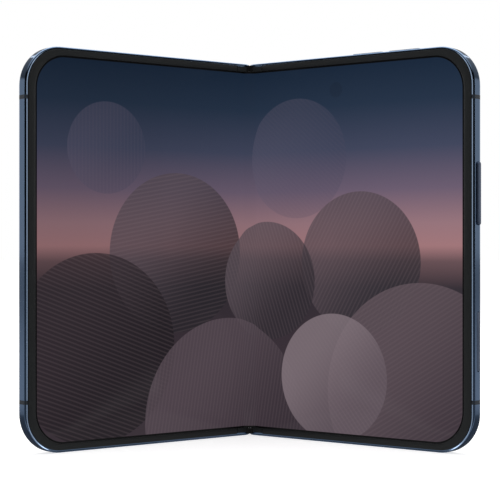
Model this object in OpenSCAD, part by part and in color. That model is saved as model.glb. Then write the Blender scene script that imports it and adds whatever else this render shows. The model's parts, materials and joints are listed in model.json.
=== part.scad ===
// Book-style folding phone that stands part open on the bottom edges of its two halves.
// Each half is drawn lying flat: x runs from the fold line to the outer edge, y from the front
// face to the back, and z up. It is then turned about its pivot, and the left half is mirrored.
// The origin is on the standing surface, at the middle of the part-open phone's footprint.

/* [Body] */
// Width of one half, from the fold line to its outer edge
half_w = 84.55; // [80:0.1:90]
// Height of both halves
body_h = 120.6; // [116:0.1:130]
// Thickness of one half
half_t = 4.8; // [4.7:0.05:5.6]
// Radius of the outer corners
corner_r = 12.1; // [10:0.1:14]
// Depth of the metal band's wall, from its outer face inwards
band_w = 2.4; // [2.2:0.1:2.8]
// Width of the band's front rim along the outer side
rim_side = 0.95; // [0.7:0.05:1.1]
// Width of the band's front rim along the top and bottom
rim_end = 0.4; // [0.3:0.05:0.6]
// Radius of the band's front edge
front_r = 0.4; // [0.2:0.05:0.45]
// Radius of the band's back edge
back_r = 2; // [1:0.1:2.1]
// Turn of each half from flat
fold_deg = 38; // [0:1:80]
// Radius that rounds the rails' ends where they meet at the fold
notch_r = 0.65; // [0.3:0.05:0.9]

/* [Display] */
// Visible width of the bezel along the outer side, with its groove
bezel_side = 2.75; // [2.4:0.01:3.4]
// Visible width of the bezel along the top and bottom, with its groove
bezel_end = 2.15; // [2.05:0.01:2.6]
// Radius of the visible display's corners
view_r = 10.15; // [9:0.05:11]
// Thickness of the bezel
bezel_t = 0.3; // [0.2:0.05:0.35]
// Groove between the bezel and the band's rim
bezel_groove = 0.3; // [0.1:0.05:0.4]
// Thickness of the folding display
display_t = 0.3; // [0.2:0.05:0.35]
// How far the display reaches under the bezel
display_under = 0.4; // [0.2:0.05:0.45]
// Thickness of the plate that backs the display
plate_t = 0.2; // [0.1:0.05:0.25]
// Half the width of the display's folding zone
fold_len = 5.2; // [4.8:0.1:6]
// Distance of the bezel's seams from the fold line
seam_x = 6.4; // [6:0.1:7]
// Gap between a bezel and the hinge cap that carries it on
cap_gap = 0.25; // [0.1:0.05:0.4]
// How far the hinge caps stand back from the bezels' outer edges
cap_drop = 0.25; // [0:0.05:0.4]
// Depth of the fold seals behind the front face
seal_depth = 0.5; // [0.4:0.05:0.6]
// Distance of the front camera from the fold line
front_cam_x = 35.1; // [30:0.1:40]
// Distance of the front camera below the top edge
front_cam_down = 10.4; // [9.5:0.1:14]
// Radius of the front camera's clear window
front_cam_r = 2.45; // [2:0.05:2.6]

/* [Chassis] */
// Thickness of the chassis floor behind the display
floor_t = 0.4; // [0.3:0.05:0.5]
// Thickness of the back glass and the cover glass
glass_t = 0.6; // [0.5:0.05:0.65]
// Width of the ledge that carries a glass
ledge_w = 0.8; // [0.5:0.1:1.2]
// Thickness of the ledge that carries a glass
ledge_t = 0.5; // [0.4:0.05:0.6]
// Width of the metal strip that covers the spine's back
strip_w = 5.8; // [5.4:0.1:6.6]
// Thickness of that strip over the spine
strip_t = 0.5; // [0.4:0.05:0.55]
// Height of each antenna band in the outer sides
antenna_w = 1.2; // [0.8:0.1:1.6]
// Distance of the antenna bands from the top and bottom edges
antenna_in = 15.55; // [15.3:0.05:18]
// Clearance between a glass, camera or key and the pieces around it
seat_gap = 0.05; // [0.03:0.01:0.08]

/* [Keys] */
// Width of every key across the band
key_w = 1.7; // [1.5:0.05:1.8]
// Depth of the keys' centre line behind the front face
key_depth = 2.2; // [2.15:0.05:2.3]
// Length of the power key
power_len = 18.6; // [14:0.1:22]
// Height of the power key's centre above mid-height
power_up = 16.5; // [14:0.1:18]
// How far the power key stands out
power_out = 0.5; // [0.2:0.05:0.5]
// Length of the camera key
camera_key_len = 17.6; // [14:0.1:20]
// Depth of the camera key's centre below mid-height
camera_key_down = 27; // [25:0.1:28]
// Length of each volume key
volume_len = 11; // [9:0.1:12]
// Gap between the two volume keys
volume_gap = 2.3; // [2:0.1:4]
// Distance of the volume pair's middle from the outer side
volume_in = 31.95; // [29:0.05:34]
// How far the volume keys stand out
volume_out = 0.35; // [0.2:0.05:0.5]
// Running clearance around each key
key_gap = 0.08; // [0.05:0.01:0.1]
// Travel of each key
key_travel = 0.3; // [0.15:0.05:0.35]

/* [Hinge] */
// Gap left between the two halves when folded shut
fold_gap = 0.06; // [0.02:0.01:0.1]
// Outer radius of the spine about each pivot
spine_r = 1.85; // [1.8:0.01:1.85]
// Wall of the spine cover
spine_wall = 0.4; // [0.35:0.01:0.4]
// Gap between the spine's ends and the rails
spine_end_gap = 0.3; // [0.2:0.05:0.6]
// Radius of the hinge shafts
shaft_r = 0.6; // [0.5:0.01:0.62]
// Running clearance of the shafts and gear pins in their bores
bore_gap = 0.04; // [0.02:0.01:0.06]
// Radius of the wing knuckles
knuckle_r = 1.2; // [1.1:0.01:1.25]
// Distance of each hinge module from the top or bottom edge
hinge_in = 6.3; // [5.3:0.1:10]
// Teeth on each timing gear
gear_teeth = 12; // [10:2:14]

/* [Rear cameras] */
// Length of the camera island
island_w = 36; // [32:0.5:38]
// Height of the camera island
island_h = 16; // [14:0.5:17]
// How far the island stands out of the back glass
island_out = 1.6; // [1:0.1:2.5]
// Radius of each rear camera's window
rear_cam_r = 5; // [4:0.1:5.5]

/* [Hidden] */
$fn = 64;
eps = 0.01;
mid = body_h / 2;
pivot_y = half_t / 2;
pivot_x = pivot_y + fold_gap / 2;
end_r = pivot_y;                                // round ends of the rails, about the pivots
plate_y = bezel_t + display_t;                  // front of the display's backing plate
floor_y = plate_y + plate_t;                    // front of the chassis floor
bay_y = floor_y + floor_t;                      // front of the space for the inner parts
glass_y = half_t - glass_t;                     // front of the back glass
ledge_y = glass_y - ledge_t;
bezel_in_side = rim_side + bezel_groove;        // bezel's outer edge, in from the outer face
bezel_in_end = rim_end + bezel_groove;
view_x = half_w - rim_side - bezel_side;        // edge of the visible display
view_z = rim_end + bezel_end;
hinge_wall_x = 12.6;                            // wall between the hinge bay and the inner parts
hinge_wall_t = 0.8;
inner_x = hinge_wall_x + hinge_wall_t;          // where the inner parts may start
inner_edge = half_w - band_w;                   // inner face of the band's outer side
hub_r = 1.4;                                    // brackets and end plugs, about each pivot
spine_in = pivot_y + spine_r - spine_wall;      // inner face of the spine's back
spine_z = band_w + spine_end_gap;
spine_side_y = pivot_y + 0.7;                   // where the spine's side walls stop for the wings
gear_step = 2 * pivot_x / 3;                    // between the axes of neighbouring gears
gear_pin_r = 0.36;
rib_t = 2;
bay_gear = 3;
bay_knuckle = 4;
bay_clip = 5;
tab_len = 3;
knuckle_z = 2 * rib_t + bay_gear;               // stations along a hinge module
clip_z = knuckle_z + bay_knuckle;
last_rib_z = clip_z + bay_clip;
shaft_len = last_rib_z + rib_t;
module_len = shaft_len + tab_len;
bay_gap = 0.3;                                  // end float of what turns in a bay
clip_r = 1.05;                                  // friction clips, about each shaft
clip_t = 0.6;                                   // the bar that joins a clip's two rings
clip_slit = 0.24;
bridge_w = 2.2;
bridge_y = pivot_y + 1;
arm_t = 1;                                      // thickness of a wing's arm
wing_x = seam_x + 0.2;                          // where a wing widens against the floor
wing_end = hinge_wall_x - 0.4;
wing_t = 1.2;
wing_len = 14;
wing_screw_x = (wing_x + wing_end) / 2;
flange_t = 0.4;                                 // inner flange that keeps a key in
flange_rim = 0.1;
switch_t = 0.8;
screw_r = 0.5;
screw_head_r = 1;
front_reach = (half_w - pivot_x) * sin(fold_deg) + pivot_y * cos(fold_deg) - pivot_y;
back_reach = pivot_y + pivot_x * sin(fold_deg) + pivot_y * cos(fold_deg);
origin_y = (front_reach - back_reach) / 2;      // flat-state depth 0, in the part's frame
spine_screw_r = 0.35;
spine_head_r = 0.7;
module_z = hinge_in + module_len;               // start of the lower module, running downwards
wing_mid_z = module_z - knuckle_z - bay_knuckle / 2;
spine_screw_zs = [wing_mid_z, module_z - shaft_len - tab_len / 2];
wing_screw_zs = [wing_mid_z - wing_len / 2 + 2, wing_mid_z + wing_len / 2 - 2];
gear_tip_h = 0.09;                              // tooth height above the pitch circle
gear_root_h = 0.14;                             // tooth depth below the pitch circle
fold_steps = 20;                                // facets of a bent sheet, each side of the fold
seal_t = 0.3;
flex_y = pivot_y + 0.6;
flex_t = 0.15;
flex_h = 12;
flex_end = inner_x + 1;
front_cam_z = body_h - front_cam_down;
part_gap = 1.6;                                 // between the hinge wall and the inner parts
part_x = inner_x + part_gap;
part_play = 0.2;                                // between the inner parts and what covers them
part_end = band_w + 0.4;                        // where the parts beside the rails start
socket_room = 22;                               // height that the parts at the lower end share
switch_len = 3.6;
switch_w = 1.6;
switch_foot_t = 0.3;
side_room = 6;                                  // from the outer face to the batteries
speaker_x = half_w - 18.3;
speaker_w = 15;
speaker_h = 14;
earpiece_h = 12;
speaker_hole_r = 0.5;
speaker_step = 1.8;
speaker_holes = [for (i = [-3:3]) speaker_x + i * speaker_step];
motor_x = part_x + 4;
motor_w = 12;
motor_h = 10.4;
motor_t = 2;
usb_x = half_w / 2;
usb_wall = 0.25;
usb_len = 7;
island_x = half_w - island_w / 2 - 4.5;
island_z = body_h - island_h / 2 - 5;
cam_step = island_w / 2 - rear_cam_r - 2;       // rear cameras, from the island's middle
module_r = rear_cam_r - 0.6;
window_t = 0.5;
window_y = half_t + island_out - window_t;
window_sink = 0.05;
flash_r = 1.6;
cover_cam_x = half_w / 2;
cover_cam_z = body_h - 10;
cover_cam_r = 2;
board_y = bay_y + 0.3;
board_t = 0.6;
board_x = half_w - side_room + 0.7;             // the main board's edge at the keys
board_h = 36.7;
board_z = body_h - band_w - 4.2;                // its upper edge
board_corner = 11;                              // notch at its outer upper corner
board_screw_in = 3;                             // screws, in from the board's edges
board_screw_spots = [
    [part_x + board_screw_in, board_z - board_h + board_screw_in],
    [board_x - board_screw_in, board_z - board_h + board_screw_in],
    [part_x + board_screw_in, board_z - board_screw_in]
];
board_post_r = 1.2;
// Each shield's reach across and up the board, as shares of its size
shield_shares = [[0.12, 0.28, 0.05, 0.75], [0.4, 0.62, 0.05, 0.5], [0.66, 0.88, 0.05, 0.45]];

// ---- placing ----

// Turns a flat half about its pivot
module turned() {
    translate([pivot_x, origin_y + pivot_y, 0])
        rotate([0, 0, -fold_deg])
            translate([-pivot_x, -pivot_y, 0])
                children();
}

module turned_left() {
    mirror([1, 0, 0])
        turned()
            children();
}

// Places what stays with the spine
module still() {
    translate([0, origin_y, 0])
        children();
}

// Draws the children at the lower end and mirrored at the upper end
module both_ends() {
    children();
    upper_end()
        children();
}

module upper_end() {
    translate([0, 0, body_h])
        mirror([0, 0, 1])
            children();
}

// Extrudes an x-z outline from depth y0 to y1
module layer(y0, y1) {
    translate([0, y1, 0])
        rotate([90, 0, 0])
            linear_extrude(y1 - y0)
                children();
}

module block(x0, x1, y0, y1, z0, z1) {
    translate([x0, y0, z0])
        cube([x1 - x0, y1 - y0, z1 - z0]);
}

// A cylinder along the depth, from y0 to y1
module peg(x, z, r, y0, y1) {
    layer(y0, y1)
        translate([x, z])
            circle(r);
}

// ---- outlines ----

// Outline of a half seen from the front, from x0 to side, with its outer corners rounded
module half_outline(x0, side, end, r) {
    translate([x0, end])
        square([side - r - x0, body_h - 2 * end]);
    translate([x0, end + r])
        square([side - x0, body_h - 2 * end - 2 * r]);
    for (z = [end + r, body_h - end - r])
        translate([side - r, z])
            circle(r);
}

module inset_outline(x0, inset) {
    half_outline(x0, half_w - inset, inset, corner_r - inset);
}

// The same outline, set in by different amounts at the outer side and at the ends
module framed_outline(x0, side_in, end_in) {
    half_outline(x0, half_w - side_in, end_in, corner_r - (side_in + end_in) / 2);
}

// A bar with round ends, centred, its length along x
module pill(len, wide) {
    square([len - wide, wide], center = true);
    for (side = [-1, 1])
        translate([side * (len - wide) / 2, 0])
            circle(wide / 2);
}

// The stadium around both pivots, seen from above
module pivot_stadium(r) {
    translate([-pivot_x, pivot_y - r])
        square([2 * pivot_x, 2 * r]);
    for (side = [-1, 1])
        translate([side * pivot_x, pivot_y])
            circle(r);
}

// ---- metal band ----

// A quarter disc in the corner at the origin, pointing to +x +y
module quarter(r) {
    intersection() {
        circle(r);
        square(r);
    }
}

// Cross-section of the band: outwards along x up to 0, depth along y
module band_profile() {
    translate([-band_w, front_r])
        square([band_w, half_t - front_r - back_r]);
    translate([-band_w, 0])
        square([band_w - front_r, front_r + eps]);
    translate([-band_w, half_t - back_r - eps])
        square([band_w - back_r, back_r + eps]);
    translate([-front_r, front_r])
        mirror([0, 1])
            quarter(front_r);
    translate([-back_r, half_t - back_r])
        quarter(back_r);
}

// Shape seen from the rail's side: a straight run up to x1, and a rounded end about the pivot
module rail_room(x1) {
    block(pivot_x, x1, -1, half_t + 1, -1, band_w + 1);
    translate([pivot_x, pivot_y, 0])
        rotate_extrude() {
            square([end_r - notch_r, band_w]);
            translate([0, notch_r])
                square([end_r, band_w - notch_r]);
            translate([end_r - notch_r, notch_r])
                circle(notch_r);
        }
}

// Front quarter of a rail's end, inside its rim, where the fold seal bends around the pivot
module seal_room() {
    difference() {
        block(-1, pivot_x, -1, pivot_y, rim_end, band_w + 1);
        translate([pivot_x, pivot_y, 0])
            cylinder(r = pivot_y - seal_depth - seal_t - seat_gap, h = band_w + 2);
    }
}

module rail() {
    run = half_w - corner_r;
    difference() {
        intersection() {
            translate([run, 0, 0])
                rotate([0, 90, 0])
                    mirror([0, 0, 1])
                        linear_extrude(run)
                            band_profile();
            rail_room(run + 1);
        }
        seal_room();
    }
}

// One end of the band: rail, corner and half the outer side
module band_end() {
    rail();
    translate([half_w - corner_r, 0, corner_r])
        rotate([-90, 0, 0])
            rotate_extrude(angle = 90)
                translate([corner_r, 0])
                    band_profile();
    translate([half_w, 0, corner_r])
        linear_extrude(mid - corner_r + eps)
            band_profile();
}

// The whole band, with its recesses for the bezel and the display's edge
module band() {
    difference() {
        both_ends()
            band_end();
        layer(-1, bezel_t)
            framed_outline(0, rim_side, rim_end);
        layer(bezel_t - eps, floor_y)
            display_outline(-seat_gap);
    }
}

module antenna_cuts() {
    for (z = [antenna_in, body_h - antenna_in])
        block(inner_edge, half_w + 1, -1, half_t + 1, z - antenna_w / 2, z + antenna_w / 2);
}

module antenna_bands() {
    intersection() {
        band();
        antenna_cuts();
    }
}

// ---- chassis ----

module chassis_floor() {
    layer(floor_y, bay_y)
        difference() {
            inset_outline(fold_len, band_w - eps);
            translate([front_cam_x, front_cam_z])
                circle(front_cam_r + 2 * seat_gap);
        }
}

// Thin strip over the spine, the rib at its edge and the wall behind the wings
module hinge_side() {
    strip_x = fold_gap / 2 + seat_gap;
    edge_r = strip_t / 2;
    block(strip_x + edge_r, strip_w, half_t - strip_t, half_t, band_w - eps, body_h - band_w + eps);
    translate([strip_x + edge_r, half_t - edge_r, band_w - eps])
        cylinder(r = edge_r, h = body_h - 2 * band_w + 2 * eps);
    block(strip_w - 1.2, strip_w, ledge_y, half_t - eps, band_w - eps, body_h - band_w + eps);
    block(strip_w - eps, strip_w + ledge_w, ledge_y, glass_y, band_w - eps, body_h - band_w + eps);
    difference() {
        block(hinge_wall_x, inner_x, bay_y - eps, ledge_y, band_w - eps, body_h - band_w + eps);
        block(0, half_w, flex_y - 0.2, flex_y + flex_t + 0.2, mid - flex_h / 2 - 0.3,
            mid + flex_h / 2 + 0.3);
    }
}

module glass_ledge() {
    layer(ledge_y, glass_y)
        difference() {
            inset_outline(strip_w, band_w - eps);
            inset_outline(0, band_w + ledge_w);
        }
}

module wing_screw_holes() {
    for (z = wing_screw_zs)
        peg(wing_screw_x, z, screw_r, floor_y - 1, bay_y + eps);
}

module frame() {
    difference() {
        union() {
            band();
            chassis_floor();
            hinge_side();
            glass_ledge();
        }
        antenna_cuts();
        both_ends()
            wing_screw_holes();
    }
}

// ---- right half: frame with its keys, sockets and holes ----

module usb_outline(grow) {
    pill(8.34 + 2 * grow, 2.56 + 2 * grow);
}

module frame_right() {
    color("slategray")
        turned()
            difference() {
                union() {
                    frame();
                    for (spot = board_screw_spots)
                        peg(spot[0], spot[1], board_post_r, bay_y - eps, board_y);
                }
                place_flank(power_up)
                    key_slot(power_len);
                place_flank(-camera_key_down)
                    key_slot(camera_key_len);
                for (side = [-1, 1])
                    place_top(side)
                        key_slot(volume_len);
                translate([usb_x, pivot_y, -1])
                    linear_extrude(band_w + 2)
                        usb_outline(0);
                translate([usb_x, pivot_y, band_w])
                    linear_extrude(usb_len + 1)
                        usb_outline(usb_wall + seat_gap);
                for (x = speaker_holes)
                    translate([x, pivot_y, -1])
                        cylinder(r = speaker_hole_r, h = band_w + 2);
                for (spot = board_screw_spots)
                    peg(spot[0], spot[1], screw_r, floor_y - 1, board_y + 1);
            }
}

module antenna_bands_right() {
    color("dimgray")
        turned()
            antenna_bands();
}

// ---- display and bezel, alike on both halves ----

module bezel() {
    layer(0, bezel_t)
        difference() {
            framed_outline(seam_x, bezel_in_side, bezel_in_end);
            half_outline(0, view_x, view_z, view_r);
        }
}

module hinge_cap() {
    block(pivot_x, seam_x - cap_gap, 0, bezel_t, bezel_in_end + cap_drop, view_z);
}

module display_outline(inset) {
    reach = display_under - inset;
    half_outline(fold_len, view_x + reach, view_z - reach, view_r + reach);
}

module display_panel() {
    layer(bezel_t, plate_y)
        display_outline(0);
}

module display_plate(cam) {
    layer(plate_y, floor_y)
        difference() {
            display_outline(0.1);
            if (cam)
                translate([front_cam_x, front_cam_z])
                    circle(front_cam_r + 2 * seat_gap);
        }
}

module bezel_right() {
    color("#26282a")
        turned()
            bezel();
}

module hinge_caps_right() {
    color("#232527")
        turned()
            both_ends()
                hinge_cap();
}

module display_right() {
    color("#3c4660")
        turned()
            display_panel();
}

module display_plate_right() {
    color("silver")
        turned()
            display_plate(true);
}

// ---- keys ----

// Length along x, depth along y, outwards along z from the band's outer face
module key(len, out) {
    translate([0, 0, -band_w - 2 * seat_gap])
        linear_extrude(band_w + 2 * seat_gap + out)
            pill(len, key_w);
    translate([0, 0, -band_w - seat_gap - flange_t])
        linear_extrude(flange_t)
            pill(len + 4 * flange_rim, key_w + 2 * flange_rim);
}

module key_slot(len) {
    translate([0, 0, -band_w - 1])
        linear_extrude(band_w + 2)
            pill(len + 2 * key_gap, key_w + 2 * key_gap);
}

// The dome switch behind a key, on a strip that stands on the chassis floor
module key_switch(len) {
    back = -band_w - seat_gap - flange_t - key_travel - seat_gap;
    foot_y = bay_y - key_depth;
    translate([-switch_len / 2, -switch_w / 2, back - switch_t])
        cube([switch_len, switch_w, switch_t]);
    translate([-len / 2, foot_y, back - switch_t - switch_foot_t])
        cube([len, switch_w / 2 - foot_y, switch_foot_t + eps]);
}

module place_flank(up) {
    translate([half_w, key_depth, mid + up])
        rotate([0, 90, 0])
            children();
}

module place_top(side) {
    translate([half_w - volume_in + side * (volume_len + volume_gap) / 2, key_depth, body_h])
        children();
}

module power_key() {
    color("#303a4a")
        turned()
            place_flank(power_up)
                key(power_len, power_out);
}

module camera_key() {
    color("#2c3644")
        turned()
            place_flank(-camera_key_down)
                key(camera_key_len, 0);
}

module volume_up_key() {
    color("#303a4a")
        turned()
            place_top(1)
                key(volume_len, volume_out);
}

module volume_down_key() {
    color("#303a4a")
        turned()
            place_top(-1)
                key(volume_len, volume_out);
}

module key_switches() {
    color("goldenrod")
        turned() {
            place_flank(power_up)
                key_switch(power_len);
            place_flank(-camera_key_down)
                key_switch(camera_key_len);
            for (side = [-1, 1])
                place_top(side)
                    key_switch(volume_len);
        }
}

// ---- backs ----

module glass_panel() {
    half_outline(strip_w + seat_gap, inner_edge - seat_gap, band_w + seat_gap,
        corner_r - band_w - seat_gap);
}

module back_glass() {
    color("#3a4a60")
        turned()
            layer(glass_y, half_t)
                difference() {
                    glass_panel();
                    translate([island_x, island_z])
                        pill(island_w + 2 * seat_gap, island_h + 2 * seat_gap);
                }
}

module camera_island() {
    color("slategray")
        turned()
            difference() {
                union() {
                    layer(glass_y - eps, half_t + island_out)
                        translate([island_x, island_z])
                            pill(island_w, island_h);
                    layer(glass_y - 0.4, glass_y)
                        translate([island_x, island_z])
                            pill(island_w + 1, island_h + 1);
                }
                for (side = [-1, 1]) {
                    peg(island_x + side * cam_step, island_z, rear_cam_r, window_y, half_t + island_out + 1);
                    peg(island_x + side * cam_step, island_z, module_r + seat_gap, 0, window_y + eps);
                }
                peg(island_x, island_z + 3, flash_r, window_y, half_t + island_out + 1);
            }
}

module rear_camera_windows() {
    color("#10141c")
        turned()
            for (side = [-1, 1])
                peg(island_x + side * cam_step, island_z, rear_cam_r - seat_gap, window_y,
                    half_t + island_out - window_sink);
}

module rear_cameras() {
    color("#15181e")
        turned()
            for (side = [-1, 1])
                peg(island_x + side * cam_step, island_z, module_r, bay_y, window_y);
}

module flash() {
    color("#f4f0dc")
        turned()
            peg(island_x, island_z + 3, flash_r - seat_gap, window_y, half_t + island_out - window_sink);
}

// ---- inside the right half ----

module front_camera() {
    color("#0c0e12")
        turned()
            peg(front_cam_x, front_cam_z, front_cam_r, plate_y, ledge_y);
}

module main_board() {
    color("darkgreen")
        turned()
            layer(board_y, board_y + board_t)
                difference() {
                    translate([part_x, board_z - board_h])
                        square([board_x - part_x, board_h]);
                    translate([front_cam_x, front_cam_z])
                        circle(front_cam_r + part_play);
                    for (side = [-1, 1])
                        translate([island_x + side * cam_step, island_z])
                            circle(module_r + part_play);
                    for (spot = board_screw_spots)
                        translate(spot)
                            circle(screw_r + seat_gap);
                    translate([board_x - board_corner, board_z - board_corner])
                        square(2 * board_corner);
                }
}

module board_shields() {
    across = board_x - part_x;
    color("lightgray")
        turned()
            for (share = shield_shares)
                block(part_x + share[0] * across, part_x + share[1] * across, board_y + board_t,
                    ledge_y - part_play, board_z - (1 - share[2]) * board_h,
                    board_z - (1 - share[3]) * board_h);
}

module board_screws() {
    color("silver")
        turned()
            for (spot = board_screw_spots) {
                peg(spot[0], spot[1], screw_head_r, board_y + board_t, board_y + board_t + 0.4);
                peg(spot[0], spot[1], screw_r - 0.02, floor_y, board_y + board_t + eps);
            }
}

module battery_right() {
    color("#2a2a2a")
        turned()
            block(part_x, half_w - side_room, bay_y, ledge_y - part_play, socket_room,
                board_z - board_h - 1);
}

module usb_socket() {
    color("gray")
        turned() {
            difference() {
                translate([usb_x, pivot_y, band_w])
                    linear_extrude(usb_len)
                        usb_outline(usb_wall);
                translate([usb_x, pivot_y, band_w - 1])
                    linear_extrude(usb_len)
                        usb_outline(0);
            }
            block(usb_x - 3.3, usb_x + 3.3, pivot_y - 0.35, pivot_y + 0.35, 1.2,
                band_w + usb_len - 0.5);
        }
}

module loudspeaker() {
    color("#202020")
        turned()
            block(speaker_x - speaker_w / 2, speaker_x + speaker_w / 2, bay_y, ledge_y - part_play,
                part_end, part_end + speaker_h);
}

module haptic_motor() {
    color("silver")
        turned()
            block(motor_x, motor_x + motor_w, bay_y, bay_y + motor_t, part_end, part_end + motor_h);
}

// ---- inside the left half ----

module frame_left() {
    color("slategray")
        turned_left()
            difference() {
                frame();
                for (x = speaker_holes)
                    translate([x, pivot_y, body_h - band_w - 1])
                        cylinder(r = speaker_hole_r, h = band_w + 2);
            }
}

module antenna_bands_left() {
    color("dimgray")
        turned_left()
            antenna_bands();
}

module bezel_left() {
    color("#26282a")
        turned_left()
            bezel();
}

module hinge_caps_left() {
    color("#232527")
        turned_left()
            both_ends()
                hinge_cap();
}

module display_left() {
    color("#2c3650")
        turned_left()
            display_panel();
}

module display_plate_left() {
    color("silver")
        turned_left()
            display_plate(false);
}

module cover_glass() {
    color("#0c0f14")
        turned_left()
            layer(glass_y, half_t)
                glass_panel();
}

module cover_display() {
    color("#181c26")
        turned_left()
            layer(glass_y - 0.3, glass_y)
                difference() {
                    inset_outline(strip_w + ledge_w + 0.2, band_w + ledge_w + 0.2);
                    translate([cover_cam_x, cover_cam_z])
                        circle(cover_cam_r + 0.2);
                }
}

module cover_camera() {
    color("#0c0e12")
        turned_left()
            peg(cover_cam_x, cover_cam_z, cover_cam_r, bay_y, glass_y);
}

module battery_left() {
    color("#2a2a2a")
        turned_left()
            block(part_x, half_w - side_room, bay_y, ledge_y - part_play, socket_room,
                body_h - socket_room);
}

module earpiece() {
    color("#202020")
        turned_left()
            block(speaker_x - speaker_w / 2, speaker_x + speaker_w / 2, bay_y, ledge_y - part_play,
                body_h - part_end - earpiece_h, body_h - part_end);
}

module left_board() {
    color("darkgreen")
        turned_left()
            block(part_x, half_w - 2 * side_room, bay_y, bay_y + board_t, part_end, socket_room - 1);
}

// ---- spine ----

module spine_cover() {
    color("slategray")
        still()
            difference() {
                intersection() {
                    translate([0, 0, spine_z])
                        linear_extrude(body_h - 2 * spine_z)
                            difference() {
                                pivot_stadium(spine_r);
                                pivot_stadium(spine_r - spine_wall);
                            }
                    block(-half_t, half_t, spine_side_y, half_t, 0, body_h);
                }
                both_ends()
                    for (z = spine_screw_zs)
                        peg(0, z, spine_screw_r, spine_in - 1, spine_in + 0.25);
            }
}

module spine_end_plugs() {
    color("dimgray")
        still()
            both_ends()
                intersection() {
                    translate([0, 0, spine_z])
                        linear_extrude(1)
                            hub_outline();
                    block(-half_t, half_t, pivot_y + 0.2, half_t, 0, body_h);
                }
}

// Seated flat on the inside of the spine's back, clear of its round sides
module hub_outline() {
    pivot_stadium(hub_r);
    translate([-pivot_x, pivot_y])
        square([2 * pivot_x, spine_in - pivot_y]);
}

// Stands the children at the lower module's start, running downwards from mid-height
module at_module() {
    translate([0, 0, module_z])
        mirror([0, 0, 1])
            children();
}

module bracket() {
    difference() {
        union() {
            for (z = [0, rib_t + bay_gear, last_rib_z])
                translate([0, 0, z])
                    linear_extrude(rib_t)
                        hub_outline();
            block(-bridge_w / 2, bridge_w / 2, bridge_y, spine_in, 0, module_len);
        }
        for (side = [-1, 1]) {
            translate([side * pivot_x, pivot_y, -1])
                cylinder(r = shaft_r + bore_gap, h = shaft_len + 2);
            translate([side * gear_step / 2, pivot_y, -1])
                cylinder(r = gear_pin_r + bore_gap, h = knuckle_z + 1 + eps);
        }
        for (z = [knuckle_z + bay_knuckle / 2, shaft_len + tab_len / 2])
            peg(0, z, spine_screw_r + bore_gap, 0, half_t);
    }
}

module hinge_bracket_lower() {
    color("gray")
        still()
            at_module()
                bracket();
}

module hinge_bracket_upper() {
    color("gray")
        still()
            upper_end()
                at_module()
                    bracket();
}

module spine_screws() {
    color("silver")
        still()
            both_ends()
                for (z = spine_screw_zs) {
                    peg(0, z, spine_head_r, bridge_y - 0.35, bridge_y);
                    peg(0, z, spine_screw_r - 0.01, bridge_y - 0.1, spine_in + 0.2);
                }
}

// A spring clip that grips both shafts and stands on the bracket's bridge
module friction_clip() {
    translate([0, 0, clip_z + bay_gap])
        linear_extrude(bay_clip - 2 * bay_gap)
            difference() {
                union() {
                    for (side = [-1, 1])
                        translate([side * pivot_x, pivot_y])
                            circle(clip_r);
                    translate([-pivot_x, pivot_y - clip_t / 2])
                        square([2 * pivot_x, clip_t]);
                    translate([-clip_t, pivot_y])
                        square([2 * clip_t, bridge_y - pivot_y]);
                }
                for (side = [-1, 1]) {
                    translate([side * pivot_x, pivot_y])
                        circle(shaft_r + bore_gap / 2);
                    translate([side * pivot_x - clip_slit / 2, pivot_y - 2 * clip_r])
                        square([clip_slit, 2 * clip_r]);
                }
            }
}

module friction_clips() {
    color("goldenrod")
        still()
            both_ends()
                at_module()
                    friction_clip();
}

// ---- timing gears: two on the shafts and two between them, all alike ----

function polar(r, a) = [r * cos(a), r * sin(a)];

module gear_outline(phase) {
    pitch_r = gear_step / 2;
    step = 360 / gear_teeth;
    polygon([
        for (i = [0:gear_teeth - 1])
            let (a = phase + i * step)
                each [
                    polar(pitch_r - gear_root_h, a - step * 0.28),
                    polar(pitch_r + gear_tip_h, a - step * 0.11),
                    polar(pitch_r + gear_tip_h, a + step * 0.11),
                    polar(pitch_r - gear_root_h, a + step * 0.28)
                ]
    ]);
}

// Gear number 0 to 3 from left to right: neighbours are half a tooth apart
module gear(number) {
    phase = (number % 2) * 180 / gear_teeth;
    translate([(number - 1.5) * gear_step, pivot_y, rib_t + bay_gap])
        linear_extrude(bay_gear - 2 * bay_gap)
            gear_outline(phase);
}

module idler(number) {
    gear(number);
    translate([(number - 1.5) * gear_step, pivot_y, bay_gap])
        cylinder(r = gear_pin_r, h = knuckle_z - 2 * bay_gap);
}

module timing_gears_right() {
    color("silver")
        still()
            both_ends()
                at_module()
                    idler(2);
}

module timing_gears_left() {
    color("silver")
        still()
            both_ends()
                at_module()
                    idler(1);
}

module shaft(side) {
    translate([side * pivot_x, pivot_y, 0])
        cylinder(r = shaft_r, h = shaft_len);
    gear(side > 0 ? 3 : 0);
}

module hinge_shafts_right() {
    color("silver")
        still()
            both_ends()
                at_module()
                    shaft(1);
}

module hinge_shafts_left() {
    color("silver")
        still()
            both_ends()
                at_module()
                    shaft(-1);
}

// ---- wings: from the shafts to the chassis floors ----

module wing() {
    arm_h = bay_knuckle - 2 * bay_gap;
    difference() {
        union() {
            translate([pivot_x, pivot_y, wing_mid_z - arm_h / 2])
                cylinder(r = knuckle_r, h = arm_h);
            block(pivot_x, wing_x + wing_t, pivot_y - arm_t / 2, pivot_y + arm_t / 2,
                wing_mid_z - arm_h / 2, wing_mid_z + arm_h / 2);
            block(wing_x, wing_end, bay_y, bay_y + wing_t, wing_mid_z - wing_len / 2,
                wing_mid_z + wing_len / 2);
        }
        translate([pivot_x, pivot_y, wing_mid_z - arm_h])
            cylinder(r = shaft_r + bore_gap / 2, h = 2 * arm_h);
        for (z = wing_screw_zs)
            peg(wing_screw_x, z, screw_r + seat_gap, 0, half_t);
    }
}

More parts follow.
